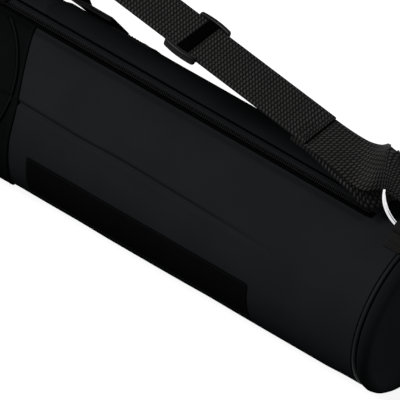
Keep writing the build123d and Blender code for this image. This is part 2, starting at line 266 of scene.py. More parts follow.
def around(angle, reach):
    """The Y and Z of a point at an angle and a distance from the axis, flat on the base."""
    turn = math.radians(angle)
    y = -reach * math.cos(turn)
    z = AXIS + reach * math.sin(turn)
    floor = max(0.0, RADIUS - reach)
    if z < floor:
        y *= (AXIS - floor) / (AXIS - z)
        z = floor
    return y, z


def place(x, angle, reach):
    """A point on the tube."""
    y, z = around(angle, reach)
    return Vector((x, y, z))


def outward(angle):
    """The direction straight out of the tube at an angle."""
    turn = math.radians(angle)
    return Vector((0, -math.cos(turn), math.sin(turn)))


def seam_fade(x, angle):
    """0 on a seam and 1 well away from all of them."""
    fade = ease((SHELL - 0.014 - abs(x)) / 0.028)
    for seam in (FRONT_SEAM, BACK_SEAM, BACK_SEAM - 360):
        fade *= ease(abs(angle - seam) / 7)
    if angle > 60:
        fade *= max(ease((89.5 - angle) / 5), ease((angle - 103) / 6))
    return fade


def swell(x, angle):
    """How far the padded cloth stands out from the plain tube."""
    size = sizes()
    wave = noise.noise(Vector((x * 9, angle * 0.028, 3.1)))
    wave += 0.5 * noise.noise(Vector((x * 23, angle * 0.07, 8.7)))
    lift = size.fullness + size.ripple * wave
    valley = CREASE_ANGLE - 4 * (x - CREASE_X) / 0.3 - 1.6 * ease((0.235 - x) / 0.07)
    off = math.radians(angle - valley) * RADIUS
    run = ease((x - CREASE_START) / 0.03) * (1 - ease((x - CREASE_FADE) / 0.16))
    fold, shoulder = math.exp(-((off / 0.0022) ** 2)), math.exp(-((off / 0.006) ** 2))
    lift -= size.crease * run * (1.15 * fold - 0.25 * shoulder)
    dip = 0.0032 * ease((angle - 79) / 14) ** 2 * (1 - ease((angle - FRONT_ROLL) / 1.2))
    return max(-0.0030, lift) * seam_fade(x, angle) - dip * ease((MOUTH - abs(x)) / 0.003)


def lowest(x, angle):
    """The least that the cloth stands out near a point, so that padding stays under it."""
    return min(swell(x, angle + off) for off in range(-4, 5))


def wrap_side(angle):
    """Where the wrap's right edge runs at an angle."""
    return WRAP_HALF - WRAP_SLANT * around(angle, RADIUS)[0] - 0.006 * ease((45 - angle) / 35)


def corner_cut(angle, low, high, corner):
    """How far a rounded corner takes in the end of a panel, between its low and high edges."""
    off = math.radians(min(angle - low, high - angle)) * RADIUS
    miss = max(0.0, corner - off)
    return corner - math.sqrt(max(0.0, corner * corner - miss * miss))


def disc_spot(u, v):
    """The point of a disc that belongs to a point of a square, both from -1 to 1."""
    return u * math.sqrt(1 - v * v / 2), v * math.sqrt(1 - u * u / 2)


# Mesh helpers -----------------------------------------------------------------


def steps(start, end, step, crowd=True):
    """Stations from start to end, closer together near both ends."""
    count = max(2, round(abs(end - start) / step))
    stations = []
    for i in range(count + 1):
        t = i / count
        if crowd:
            t -= 0.119 * math.sin(2 * math.pi * t)
        stations.append(start + (end - start) * t)
    return stations


def grid(columns, rows, shape):
    """A grid shaped by a function of its column and row stations, with a map in metres."""
    bm = bmesh.new()
    uv = bm.loops.layers.uv.new("UVMap")
    bmesh.ops.create_grid(bm, x_segments=len(columns) - 1, y_segments=len(rows) - 1, size=1)
    maps = {}
    for vert in bm.verts:
        column = columns[round((vert.co.x + 1) / 2 * (len(columns) - 1))]
        row = rows[round((vert.co.y + 1) / 2 * (len(rows) - 1))]
        vert.co, maps[vert] = shape(column, row)
    for face in bm.faces:
        for loop in face.loops:
            loop[uv].uv = maps[loop.vert]
    return bm


def to_mesh(bm, name):
    """Turns a bmesh into a mesh, and frees it."""
    mesh = bpy.data.meshes.new(name)
    bm.to_mesh(mesh)
    bm.free()
    return mesh


def finish(bm, name, material, body=None, replaces=(), wall=0.0, side=-1.0, round_edge=0.0):
    """Makes a piece of a mesh, with an optional wall thickness and rounded edges."""
    mesh = to_mesh(bm, name)
    mesh.materials.append(bpy.data.materials[material])
    mesh.polygons.foreach_set("use_smooth", [True] * len(mesh.polygons))
    piece = bpy.data.objects.new(name, mesh)
    bpy.context.scene.collection.objects.link(piece)
    if wall:
        solid = piece.modifiers.new("Wall", "SOLIDIFY")
        solid.thickness = wall
        solid.offset = side
        solid.use_even_offset = True
    if round_edge:
        edge = piece.modifiers.new("Edge", "BEVEL")
        edge.width = round_edge
        edge.segments = 2
        edge.limit_method = "ANGLE"
        edge.angle_limit = math.radians(50)
    if body:
        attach(piece, body)
    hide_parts(*replaces)
    return piece


def wall(ends, rows, reach, step=0.008, lift=swell):
    """A curved wall of the tube, between two ends that may depend on the angle."""
    left, right = ends(rows[0])
    columns = [(s - left) / (right - left) for s in steps(left, right, step)]

    def shape(column, angle):
        start, end = ends(angle)
        x = start + (end - start) * column
        point = place(x, angle, reach + lift(x, angle))
        return point, (x, math.radians(angle) * reach)

    return grid(columns, rows, shape)


def straight(left, right):
    """Ends that don't depend on the angle."""
    return lambda angle: (left, right)


def bead(along, across, thick, segments=6, rings=4):
    """A small smooth bead, as a mesh that can be stamped many times."""
    bm = bmesh.new()
    size = Matrix.Diagonal((along, across, thick, 1))
    bmesh.ops.create_uvsphere(bm, u_segments=segments, v_segments=rings, radius=1, matrix=size)
    return to_mesh(bm, "bead")


def stamp(bm, shape, matrix):
    """Adds a copy of a small mesh."""
    copy = shape.copy()
    copy.transform(matrix)
    bm.from_mesh(copy)
    bpy.data.meshes.remove(copy)


def sew(bm, path, pitch):
    """Lays stitches along a path, each a little over half a pitch long."""
    stitch = bead(STITCH_RADIUS, STITCH_RADIUS, pitch * STITCH_SHARE / 2)
    travelled, target = 0.0, pitch / 2
    for start, end in zip(path, path[1:]):
        run = end - start
        if run.length < 1e-7:
            continue
        direction = run.normalized()
        while target <= travelled + run.length:
            spot = start + direction * (target - travelled)
            turn = direction.to_track_quat("Z", "Y").to_matrix().to_4x4()
            stamp(bm, stitch, Matrix.Translation(spot) @ turn)
            target += pitch
        travelled += run.length
    bpy.data.meshes.remove(stitch)


def sewn(name, body, paths, share=1.0):
    """Makes one piece of the stitches along some paths."""
    bm = bmesh.new()
    for path in paths:
        sew(bm, path, sizes().stitch_pitch * share)
    finish(bm, name, "Thread", body)


def between(a, b, count):
    """Evenly spaced points from one pair of numbers to another."""
    return [
        (a[0] + (b[0] - a[0]) * i / count, a[1] + (b[1] - a[1]) * i / count) for i in range(count + 1)
    ]


def box_and_cross(near, far, low, high):
    """The seven straight rows of a sewn box with a cross in it."""
    corners = [(near, low), (far, low), (far, high), (near, high), (near, low), (far, high)]
    return [*zip(corners, corners[1:]), ((near, high), (far, low))]


def ribbon(frames, width, step=0.004):
    """A strip of webbing through frames of a centre, a direction across and a skew."""
    across_count = 12
    rows = [i / across_count - 0.5 for i in range(across_count + 1)]
    centres = [Vector(f[0]) for f in frames]
    acrosses = [Vector(f[1]) for f in frames]
    skews = [f[2] if len(f) > 2 else 0.0 for f in frames]
    columns, travelled = [], [0.0]
    for a, b in zip(centres, centres[1:]):
        travelled.append(travelled[-1] + (b - a).length)
    for i in range(len(frames) - 1):
        count = max(1, round((travelled[i + 1] - travelled[i]) / step))
        columns += [i + k / count for k in range(count)]
    columns.append(len(frames) - 1)

    def curve(values, station):
        """A smooth curve through all of the values."""
        i = min(int(station), len(values) - 2)
        t = station - i
        p0, p1 = values[max(0, i - 1)], values[i]
        p2, p3 = values[i + 1], values[min(len(values) - 1, i + 2)]
        return 0.5 * (
            2 * p1 + (p2 - p0) * t + (2 * p0 - 5 * p1 + 4 * p2 - p3) * t * t
            + (3 * p1 - p0 - 3 * p2 + p3) * t * t * t
        )

    def shape(station, row):
        i = min(int(station), len(frames) - 2)
        run = travelled[i] + (travelled[i + 1] - travelled[i]) * (station - i)
        skew = curve(skews, station)
        point = curve(centres, station) + curve(acrosses, station) * (row * width)
        return point, (run + skew * row * width, row * width)

    return grid(columns, rows, shape)


# Materials --------------------------------------------------------------------


def add_node(tree, kind, **settings):
    node = tree.nodes.new(kind)
    for name, value in settings.items():
        setattr(node, name, value)
    return node


def put_in(tree, socket, value):
    """Links a socket's value in, or sets it."""
    if isinstance(value, bpy.types.NodeSocket):
        tree.links.new(value, socket)
    else:
        socket.default_value = value


def fill(tree, node, **values):
    """Fills a node's inputs by their names, with underscores for spaces."""
    for label, value in values.items():
        put_in(tree, node.inputs[label.replace("_", " ")], value)
    return node


def math_node(tree, operation, *values):
    node = add_node(tree, "ShaderNodeMath", operation=operation)
    for socket, value in zip(node.inputs, values):
        put_in(tree, socket, value)
    return node.outputs[0]


def soft_range(tree, value, low, high):
    """Goes smoothly from 0 to 1 while a value goes from low to high."""
    node = add_node(tree, "ShaderNodeMapRange", interpolation_type="SMOOTHSTEP")
    return fill(tree, node, Value=value, From_Min=low, From_Max=high).outputs[0]


def noise_node(tree, spot, scale, detail):
    node = add_node(tree, "ShaderNodeTexNoise")
    return fill(tree, node, Vector=spot, Scale=scale, Detail=detail).outputs[0]


def mix_colour(tree, share, first, second):
    node = add_node(tree, "ShaderNodeMix", data_type="RGBA")
    for socket, value in ((0, share), (6, first), (7, second)):
        put_in(tree, node.inputs[socket], value)
    return node.outputs[2]


def new_group(name, inputs, outputs):
    """A node group. A socket's default tells its kind, and one without a default is a vector."""
    kinds = {type(None): "NodeSocketVector", float: "NodeSocketFloat", tuple: "NodeSocketColor"}
    tree = bpy.data.node_groups.new(name, "ShaderNodeTree")
    for in_out, sockets in (("INPUT", inputs), ("OUTPUT", outputs)):
        for label, default in sockets.items():
            socket = tree.interface.new_socket(
                name=label, in_out=in_out, socket_type=kinds[type(default)]
            )
            if default is not None:
                socket.default_value = default
    return tree, add_node(tree, "NodeGroupInput"), add_node(tree, "NodeGroupOutput")


def make_pattern_group(name, drift_scale, mask, ribbed):
    """Yarns as a height and a mask: over and under each other, or ribs in slanting steps."""
    tree, given, put = new_group(
        name,
        {"Place": None, "Pitch Along": 0.001, "Pitch Across": 0.001, "Unevenness": 0.1},
        {"Height": 0.0, "Mask": 0.0},
    )
    spot = given.outputs["Place"]
    shift = math_node(tree, "SUBTRACT", noise_node(tree, spot, drift_scale, 1), 0.5)
    shift = math_node(tree, "MULTIPLY", shift, given.outputs["Unevenness"])
    axes = fill(tree, add_node(tree, "ShaderNodeSeparateXYZ"), Vector=spot)
    along = math_node(tree, "DIVIDE", axes.outputs[0], given.outputs["Pitch Along"])
    along = math_node(tree, "ADD", along, shift)
    across = math_node(tree, "DIVIDE", axes.outputs[1], given.outputs["Pitch Across"])

    def wave(kind, turns):
        return math_node(tree, kind, math_node(tree, "MULTIPLY", turns, 2 * math.pi))

    if ribbed:
        slant = wave("COSINE", math_node(tree, "ADD", along, across))
        total = math_node(tree, "ADD", wave("COSINE", along), slant)
        total = math_node(tree, "ADD", total, math_node(tree, "MULTIPLY", wave("COSINE", across), 0.5))
        height = math_node(tree, "MULTIPLY_ADD", total, 0.2, 0.5)
    else:
        across = math_node(tree, "ADD", across, shift)
        total = math_node(tree, "MULTIPLY", wave("SINE", along), wave("SINE", across))
        height = math_node(tree, "MULTIPLY_ADD", total, 0.5, 0.5)
    fill(tree, put, Height=height, Mask=soft_range(tree, height, *mask))


def make_use_group():
    """Soft patches, dust and rubbed places, as a colour, a roughness and a height."""
    tree, given, put = new_group(
        "Use",
        {
            "Place": None, "Colour": (0.5, 0.5, 0.5, 1), "Rubbed Colour": (0.6, 0.6, 0.6, 1),
            "Patch Scale": 20.0, "Grain Scale": 900.0, "Amount": 0.3, "Roughness": 0.7,
            "Roughness Spread": 0.1,
        },
        {"Colour": (0.0, 0.0, 0.0, 1), "Roughness": 0.0, "Height": 0.0},
    )
    spot = given.outputs["Place"]
    patch = noise_node(tree, spot, given.outputs["Patch Scale"], 3)
    grain = noise_node(tree, spot, given.outputs["Grain Scale"], 2)
    speck = math_node(tree, "MULTIPLY", soft_range(tree, patch, 0.35, 0.7), grain)
    share = math_node(tree, "MULTIPLY", math_node(tree, "MULTIPLY", speck, 1.6), given.outputs["Amount"])
    colour = mix_colour(tree, share, given.outputs["Colour"], given.outputs["Rubbed Colour"])
    uneven = math_node(tree, "SUBTRACT", speck, 0.3)
    uneven = math_node(tree, "MULTIPLY", uneven, given.outputs["Roughness Spread"])
    roughness = math_node(tree, "ADD", uneven, given.outputs["Roughness"])
    fill(tree, put, Colour=colour, Roughness=roughness, Height=grain)


def use_node(tree, group, **values):
    return fill(tree, add_node(tree, "ShaderNodeGroup", node_tree=bpy.data.node_groups[group]), **values)


def opaque(colour):
    return (*colour, 1.0)


def tone(colour, share):
    """A darker or lighter tone of a colour."""
    return [c * share for c in colour]


def new_material(name, specular, metallic=0.0):
    material = bpy.data.materials.new(name)
    material.use_nodes = True
    tree = material.node_tree
    shader = fill(tree, tree.nodes["Principled BSDF"], Specular_IOR_Level=specular, Metallic=metallic)
    return tree, shader


def dress_shader(tree, shader, colour, roughness, height, depth):
    """Links a finish's colour, roughness and relief to its shader."""
    relief = fill(tree, add_node(tree, "ShaderNodeBump"), Distance=depth, Strength=1.0, Height=height)
    fill(tree, shader, Base_Color=colour, Roughness=roughness, Normal=relief.outputs[0])


def woven(name, yarn, gap, pitch, specular, depth, roughness=0.8, unevenness=0.1, worn=0.3, scale=18,
          pattern="Weave"):
    """A woven finish that follows the piece's own map in metres."""
    tree, shader = new_material(name, specular)
    spot = add_node(tree, "ShaderNodeUVMap", uv_map="UVMap").outputs[0]
    weave = use_node(
        tree, pattern, Place=spot, Pitch_Along=pitch[0], Pitch_Across=pitch[1], Unevenness=unevenness,
    )
    rubbed = tuple(min(1.0, c * 1.7 + 0.001) for c in yarn)
    used = use_node(
        tree, "Use", Place=spot, Colour=opaque(yarn), Rubbed_Colour=opaque(rubbed),
        Patch_Scale=scale, Grain_Scale=700, Amount=worn, Roughness=roughness, Roughness_Spread=0.15,
    )
    colour = mix_colour(tree, weave.outputs["Mask"], opaque(gap), used.outputs["Colour"])
    dress_shader(tree, shader, colour, used.outputs["Roughness"], weave.outputs["Height"], depth)
    return tree, shader, colour


def paint_end_rim_shade(tree, shader, colour, rim):
    """Paints shade on an end's cloth: from its painted light colour to a darker one toward the rim, over
    the shoulder that the lamp lights.
    """
    offset = add_node(tree, "ShaderNodeVectorMath", operation="DISTANCE")
    put_in(tree, offset.inputs[0], add_node(tree, "ShaderNodeUVMap", uv_map="UVMap").outputs[0])
    put_in(tree, offset.inputs[1], (0, AXIS, 0))
    share = soft_range(tree, offset.outputs["Value"], RADIUS - 0.0105, RADIUS + 0.0025)
    fill(tree, shader, Base_Color=mix_colour(tree, share, colour, opaque(rim)))


def grained(name, colour, rubbed, specular, roughness, grain, depth, metallic=0.0, spread=0.1, worn=0.3):
    """A plain finish with fine grain and rubbed patches, fixed to the piece."""
    tree, shader = new_material(name, specular, metallic)
    spot = add_node(tree, "ShaderNodeTexCoord").outputs["Object"]
    used = use_node(
        tree, "Use", Place=spot, Colour=opaque(colour), Rubbed_Colour=opaque(rubbed),
        Patch_Scale=40, Grain_Scale=grain, Amount=worn, Roughness=roughness, Roughness_Spread=spread,
    )
    dress_shader(
        tree, shader, used.outputs["Colour"], used.outputs["Roughness"], used.outputs["Height"], depth
    )


def make_materials():
    make_pattern_group("Weave", 180, (0.38, 0.72), ribbed=False)
    make_pattern_group("Ribs", 160, (0.32, 0.74), ribbed=True)
    make_use_group()
    colour = colours()
    cloth, dark = colour.cloth, colour.dark_cloth
    # The ends' cloth is painted 3.1 times lighter than the pack cloth, as painted light on faces turned
    # from the key lamp.
    end, plain = tone(cloth, 3.1), tone(colour.webbing, 0.5)
    fine, coarse = (0.0007, 0.0007), (0.0009, 0.0014)
    woven("Pack cloth", cloth, colour.cloth_shade, (0.0011, 0.0011), 0.0, 0.00006, unevenness=0.15)
    woven("Lid cloth", tone(cloth, 0.57), colour.cloth_shade, fine, 0.0, 0.00003, roughness=0.6)
    end_cloth = woven("End cloth with painted light", end, tone(end, 0.6), fine, 0.0, 0.00003, roughness=0.6)
    # Its rim is painted darker again, as painted shade over the full shoulder that the lamp lights.
    paint_end_rim_shade(*end_cloth, tone(cloth, 0.42))
    woven("Smooth cloth", dark, tone(dark, 0.6), fine, 0.0, 0.00003, roughness=0.6)
    woven("Lining cloth", colour.lining, tone(colour.lining, 0.5), (0.0006, 0.0006), 0.1, 0.00003)
    woven(
        "Webbing", colour.webbing, colour.webbing_gap, (0.0039, 0.0046), 0.03, 0.0006, roughness=0.6,
        unevenness=0.25, worn=0.5, scale=60, pattern="Ribs",
    )
    woven("Plain webbing", plain, tone(plain, 0.6), (0.0015, 0.0021), 0.0, 0.0001, unevenness=0.2)
    woven("Zip tape", tone(cloth, 0.9), tone(cloth, 0.4), coarse, 0.0, 0.00008)
    # A dark tape as painted shade: on the front tape in the groove under the front panel's edge, and on a
    # strip before the top panels' edge.
    woven("Tape painted in shade", tone(dark, 0.4), tone(dark, 0.2), coarse, 0.0, 0.00008)
    woven(
        "Label sheet", colour.label, colour.label, (0.0005, 0.0005), 0.0, 0.000008, roughness=0.5,
        worn=0.1,
    )
    grained("Foam", colour.foam, tone(colour.foam, 1.4), 0.1, 0.9, 1500, 0.0003)
    grained("Piping", tone(cloth, 0.6), cloth, 0.02, 0.5, 1800, 0.00006)
    grained("Dark piping", tone(dark, 1.2), tone(dark, 1.9), 0.0, 0.5, 1800, 0.00006)
    grained("Thread", tone(cloth, 0.6), tone(cloth, 1.1), 0.0, 0.6, 2500, 0.00005)
    grained("Zip coil", (0.0085, 0.0085, 0.009), (0.011, 0.011, 0.012), 0.0, 0.5, 900, 0.00002)
    grained("Zip metal", (0.030, 0.030, 0.031), (0.25, 0.25, 0.26), 0.5, 0.34, 700, 0.00001, metallic=0.9)
    grained(
        "Chrome", colour.chrome, (0.6, 0.6, 0.63), 0.5, 0.07, 600, 0.000004, metallic=1.0, spread=0.06,
        worn=0.15,
    )
    grained("Slide plastic", colour.plastic, (0.006, 0.006, 0.006), 0.05, 0.35, 1200, 0.00001, worn=0.2)
    # A darker copy of the slide's plastic, as painted shade on the middle bar.
    grained("Bar plastic painted in shade", tone(colour.plastic, 0.3), (0.001, 0.001, 0.001), 0.0, 0.6, 1200, 0.00001)


# Pieces -----------------------------------------------------------------------


class TUBE_OT_cloth(bpy.types.Operator):
    """Builds the outer cloth: front panels, wrap, base, back, collars and lid"""

    bl_idname = "drawing_tube.cloth"
    bl_label = "Outer cloth"

    def execute(self, context):
        cloth = sizes().cloth
        edges = [wrap_side(angle) for angle in range(round(FRONT_SEAM), round(FRONT_ROLL))]
        for name, hand in SIDES:

            def ends(angle, hand=hand):
                edge = wrap_side(angle) + WRAP_GAP
                return (edge, SHELL) if hand > 0 else (-SHELL, -edge)

            rows = steps(FRONT_SEAM, FRONT_ROLL, 0.8, crowd=False)
            panel = finish(
                wall(ends, rows, RADIUS, step=0.0055), f"front_cloth_{name}", "Pack cloth", "bag",
                [f"front_panel_{name}"], cloth, round_edge=0.0003,
            )
            rows = steps(MOUTH_FRONT + SEAM_GAP, FOLD_END, 3)
            panel = finish(
                wall(collar_ends(hand), rows, RADIUS, step=0.004), f"collar_cloth_{name}", "Pack cloth",
                "bag", [f"end_collar_{name}"], cloth, round_edge=0.0003,
            )
        reach = RADIUS + WRAP_RAISE
        rows = steps(FRONT_SEAM, FRONT_ROLL, 2.4)
        panel = finish(
            wall(lambda angle: (-wrap_side(angle), wrap_side(angle)), rows, reach, step=0.006),
            "centre_wrap_cloth", "Smooth cloth", "bag", ["centre_wrap"],
            cloth + WRAP_RAISE, round_edge=0.0005,
        )
        for name, part, start, end, gap in (
            ("base_cloth", "bottom", BACK_SEAM - 360, FRONT_SEAM, 0.0),
            ("back_cloth", "back", FOLD_END, BACK_SEAM, SEAM_GAP),
        ):
            rows = steps(start + gap, end - SEAM_GAP, 2.4)
            panel = finish(
                wall(straight(-SHELL, SHELL), rows, RADIUS), name, "Pack cloth", "bag",
                [f"{part}_panel"], cloth, round_edge=0.0003,
            )
        lid = finish(
            wall(straight(-MOUTH, MOUTH), steps(MOUTH_BACK, FOLD_END, 2.2), RADIUS), "lid_cloth",
            "Pack cloth", None, ["lid_panel"], cloth, round_edge=0.0003,
        )
        fold_with_lid(lid)
        return {"FINISHED"}


def collar_ends(hand):
    """The ends of the collar at one side of the mouth."""
    near = MOUTH + COLLAR_GAP
    return straight(near, SHELL) if hand > 0 else straight(-SHELL, -near)


def fold_with_lid(piece):
    """Bakes a lid piece's placement into its mesh, without bending it round the fold."""
    place(0, FOLD_BAG, RADIUS)
    place(0, FOLD_LID, RADIUS)
    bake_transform(piece)


class TUBE_OT_padding(bpy.types.Operator):
    """Builds the foam under the cloth, the end boards and the lining"""

    bl_idname = "drawing_tube.padding"
    bl_label = "Padding and lining"

    def execute(self, context):
        size = sizes()
        outer = RADIUS - size.cloth - LAYER_GAP
        whole, mouth = straight(-SHELL, SHELL), straight(-MOUTH, MOUTH)
        for node, ends, start, end in (
            ("foam_front", whole, FRONT_SEAM, MOUTH_FRONT),
            ("foam_bottom", whole, BACK_SEAM - 360, FRONT_SEAM - SEAM_GAP),
            ("foam_back", whole, FOLD_END + 0.3, BACK_SEAM - SEAM_GAP),
            ("foam_collar_right", collar_ends(1), MOUTH_FRONT + SEAM_GAP, FOLD_END),
            ("foam_collar_left", collar_ends(-1), MOUTH_FRONT + SEAM_GAP, FOLD_END),
            ("lid_foam", mouth, MOUTH_BACK, FOLD_END),
        ):
            body = None if node == "lid_foam" else "bag"
            pad = finish(
                wall(ends, steps(start, end, 4), outer, step=0.012, lift=lowest), f"{node}_pad", "Foam",
                body, [node], size.padding, round_edge=0.0006,
            )
            if body is None:
                fold_with_lid(pad)
        inner = outer - size.padding - LAYER_GAP
        half = SHELL - 0.0041
        columns = steps(-half, -MOUTH, 0.02, crowd=False)[:-1]
        columns += steps(-MOUTH, MOUTH, 0.012, crowd=False)
        columns += steps(MOUTH, half, 0.02, crowd=False)[1:]
        rows = steps(FOLD_END - 360, MOUTH_FRONT, 4, crowd=False)
        rows += steps(MOUTH_FRONT, FOLD_END, 5, crowd=False)[1:]

        def shape(x, angle):
            return place(x, angle, inner - 0.0008 + lowest(x, angle)), (x, math.radians(angle) * inner)

        bm = grid(columns, rows, shape)
        opening = []
        for face in bm.faces:
            centre = face.calc_center_median()
            turn = math.degrees(math.atan2(centre.z - AXIS, -centre.y)) % 360
            if abs(centre.x) < MOUTH and MOUTH_FRONT < turn < FOLD_END:
                opening.append(face)
        bmesh.ops.delete(bm, geom=opening, context="FACES")
        bmesh.ops.remove_doubles(bm, verts=bm.verts, dist=0.0001)
        lining = finish(bm, "lining_cloth", "Lining cloth", "bag", ["lining"], size.lining)
        lining = finish(
            wall(mouth, steps(MOUTH_BACK, FOLD_END, 4), inner, step=0.012), "lid_lining_cloth",
            "Lining cloth", None, ["lid_lining"], size.lining,
        )
        fold_with_lid(lining)
        for name, hand in SIDES:
            pad = finish(
                end_disc(inner - 0.0002, hand), f"end_board_{name}", "Foam", "bag",
                [f"end_foam_{name}"], 0.0038, round_edge=0.0006,
            )
        return {"FINISHED"}


def end_disc(reach, hand):
    """A flat disc across an end of the body, facing out."""
    stations = steps(-1, 1, 1 / 18, crowd=False)

    def shape(u, v):
        p, q = disc_spot(u, v)
        share = min(1.0, math.hypot(p, q))
        y, z = around(math.degrees(math.atan2(q, p)), reach)
        return Vector((hand * SHELL, y * share, AXIS + (z - AXIS) * share)), (p * reach, q * reach)

    bm = grid(stations, stations, shape)
    if hand < 0:
        bmesh.ops.reverse_faces(bm, faces=bm.faces)
    return bm


def edges_of(verts):
    return {edge for vert in verts for edge in vert.link_edges}


def spin_round(bm, geom, count):
    """Turns a profile all the way round the tube's middle line."""
    bmesh.ops.spin(
        bm, geom=geom, cent=(0, 0, AXIS), axis=(1, 0, 0), dvec=(0, 0, 0), angle=2 * math.pi,
        steps=count, use_merge=True,
    )


def end_cushion(hand):
    """The padded cloth end, full at its rim and nearly flat across."""
    bm = bmesh.new()
    rim = (
        (-0.0048, -0.0042), (-0.0049, -0.0010), (-0.0036, 0.0009), (-0.0008, 0.0016), (0.0009, 0.0030),
        (0.0015, 0.0056), (0.0008, 0.0086), (-0.0014, 0.0112), (-0.0054, 0.0131), (-0.0120, 0.0144),
        (-0.0240, 0.0152), (-0.0420, 0.0157), (-0.0640, 0.0160), (-RADIUS, 0.0161),
    )
    line = [bm.verts.new((hand * (HALF + x), -(RADIUS + out), AXIS)) for out, x in rim]
    edges = [bm.edges.new(pair) for pair in zip(line, line[1:])]
    spin_round(bm, [*line, *edges], 128)
    bmesh.ops.remove_doubles(bm, verts=bm.verts, dist=0.00002)
    bmesh.ops.recalc_face_normals(bm, faces=bm.faces)
    uv = bm.loops.layers.uv.new("UVMap")
    for vert in bm.verts:
        reach = math.hypot(vert.co.y, vert.co.z - AXIS)
        soft = 0.0009 * noise.noise(Vector((vert.co.y * 26, vert.co.z * 26, hand * 4.0)))
        vert.co.x += hand * soft * ease((RADIUS - reach) / 0.02)
        if vert.co.z < 0:
            vert.co.y *= AXIS / (AXIS - vert.co.z)
            vert.co.z = 0
    for face in bm.faces:
        for loop in face.loops:
            loop[uv].uv = loop.vert.co.yz
    return bm


def end_cord(hand, radius):
    """The round piping sewn round an end."""
    bm = bmesh.new()
    ring = bmesh.ops.create_circle(bm, segments=14, radius=radius)["verts"]
    middle = Vector((hand * (HALF - radius - LAYER_GAP), -(RADIUS - radius), AXIS))
    bmesh.ops.translate(bm, verts=ring, vec=middle)
    spin_round(bm, [*ring, *edges_of(ring)], 220)
    for vert in bm.verts:
        reach = math.hypot(vert.co.y, vert.co.z - AXIS)
        angle = math.degrees(math.atan2(vert.co.z - AXIS, -vert.co.y))
        vert.co = place(vert.co.x, angle, reach + 0.00018 * noise.noise(vert.co * 160))
    bmesh.ops.recalc_face_normals(bm, faces=bm.faces)
    return bm


class TUBE_OT_ends(bpy.types.Operator):
    """Builds the cloth ends and the piping round them"""

    bl_idname = "drawing_tube.ends"
    bl_label = "Ends"

    def execute(self, context):
        for name, hand in SIDES:
            # The end cloth's material carries painted light, with painted shade toward its rim.
            panel = finish(
                end_cushion(hand), f"end_cloth_{name}", "End cloth with painted light", "bag",
                [f"end_panel_{name}"], 0.0008,
            )
            cord = end_cord(hand, sizes().piping)
            finish(cord, f"end_piping_cord_{name}", "Piping", "bag", [f"end_piping_{name}"])
        return {"FINISHED"}


class TUBE_OT_top_panels(bpy.types.Operator):
    """Builds the smooth panels sewn on the lid"""

    bl_idname = "drawing_tube.top_panels"
    bl_label = "Top panels"

    def execute(self, context):
        cloth = sizes().cloth
        for name, hand in SIDES:

            def ends(angle, hand=hand):
                off = corner_cut(angle, TOP_EDGE, TOP_FOOT, TOP_CORNER)
                near, far = TOP_START + off, MOUTH - 0.0002 - off
                return (near, far) if hand > 0 else (-far, -near)

            rows = steps(TOP_EDGE, TOP_FOOT, 1.7)
            panel = finish(
                wall(ends, rows, RADIUS + cloth + 0.0002, step=0.006), f"top_cloth_{name}", "Lid cloth",
                "lid", [f"top_panel_{name}"], cloth, round_edge=0.0004,
            )
        return {"FINISHED"}


class TUBE_OT_label(bpy.types.Operator):
    """Builds the bare label on the front"""

    bl_idname = "drawing_tube.label"
    bl_label = "Label"

    def execute(self, context):
        left, right = LABEL_LOW.x, LABEL_HIGH.x

        def ends(angle):
            off = corner_cut(angle, LABEL_FOOT, LABEL_TOP, LABEL_CORNER)
            return left + off, right - off

        label = finish(
            wall(ends, steps(LABEL_FOOT, LABEL_TOP, 1.0), RADIUS + 0.0009, step=0.006), "label_cloth",
            "Label sheet", "bag", ["label_patch"], 0.0008, round_edge=0.0003,
        )
        return {"FINISHED"}


class TUBE_OT_pocket(bpy.types.Operator):
    """Builds the pocket on the centre wrap, its piping and its zip"""

    bl_idname = "drawing_tube.pocket"
    bl_label = "Pocket"

    def execute(self, context):
        reach = RADIUS + WRAP_RAISE + LAYER_GAP
        skin = reach + POCKET_STANDS
        top = reach * math.sin(math.radians(POCKET_TOP - POCKET_ANGLE))

        def on_tube(x, rise, out):
            angle = POCKET_ANGLE + math.degrees(math.asin(max(-1.0, min(1.0, rise / reach))))
            return place(x, angle, out + swell(x, angle))

        long_half, short_half = POCKET_HALF - POCKET_HEM, POCKET_RISE - POCKET_HEM

        def oval(u, v):
            p, q = disc_spot(u, v)
            return Vector((p * long_half, q * short_half, 0)), (p * long_half, q * short_half)

        stations = steps(-1, 1, 1 / 26, crowd=False)
        bm = grid(stations, stations, oval)
        bmesh.ops.bisect_plane(
            bm, geom=[*bm.verts, *bm.edges, *bm.faces], dist=1e-6, plane_co=(0, top - 0.0004, 0),
            plane_no=(0, 1, 0), clear_outer=True,
        )
        for vert in bm.verts:
            x, rise = vert.co.x, vert.co.y
            rim = 1 - math.hypot(x / long_half, rise / short_half)
            rim = min(rim, (top - rise) / short_half)
            vert.co = on_tube(x, rise, skin - POCKET_SHEET + 0.0010 * ease(rim / 0.12))
        pocket = finish(
            bm, "pocket_cloth", "Smooth cloth", "bag", ["pocket_panel"], POCKET_SHEET,
            round_edge=0.0003,
        )

        path = []
        long_half, short_half = POCKET_HALF - CORD_INSET, POCKET_RISE - CORD_INSET
        limit = math.asin((top - 0.001) / short_half)
        count = 120
        for i in range(count + 1):
            turn = limit - (math.pi + 2 * limit) * i / count
            path.append(on_tube(long_half * math.cos(turn), short_half * math.sin(turn), reach + 0.0017))
        cord = cord_along(path, POCKET_CORD)
        finish(cord, "pocket_piping_cord", "Dark piping", "bag", ["pocket_piping"])

        bm = bmesh.new()
        low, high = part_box("pocket_zip_coil")
        coil_reach = skin - POCKET_SHEET + LAYER_GAP + 0.0011
        for side in (-1, 1):
            angle = POCKET_ZIP + math.degrees(side * 0.00125 / coil_reach)
            coil_turns(bm, low.x, high.x, angle, coil_reach, 0.00115, 0.25 * side)
        finish(bm, "pocket_zip_turns", "Zip coil", "bag", ["pocket_zip_coil"])
        return {"FINISHED"}


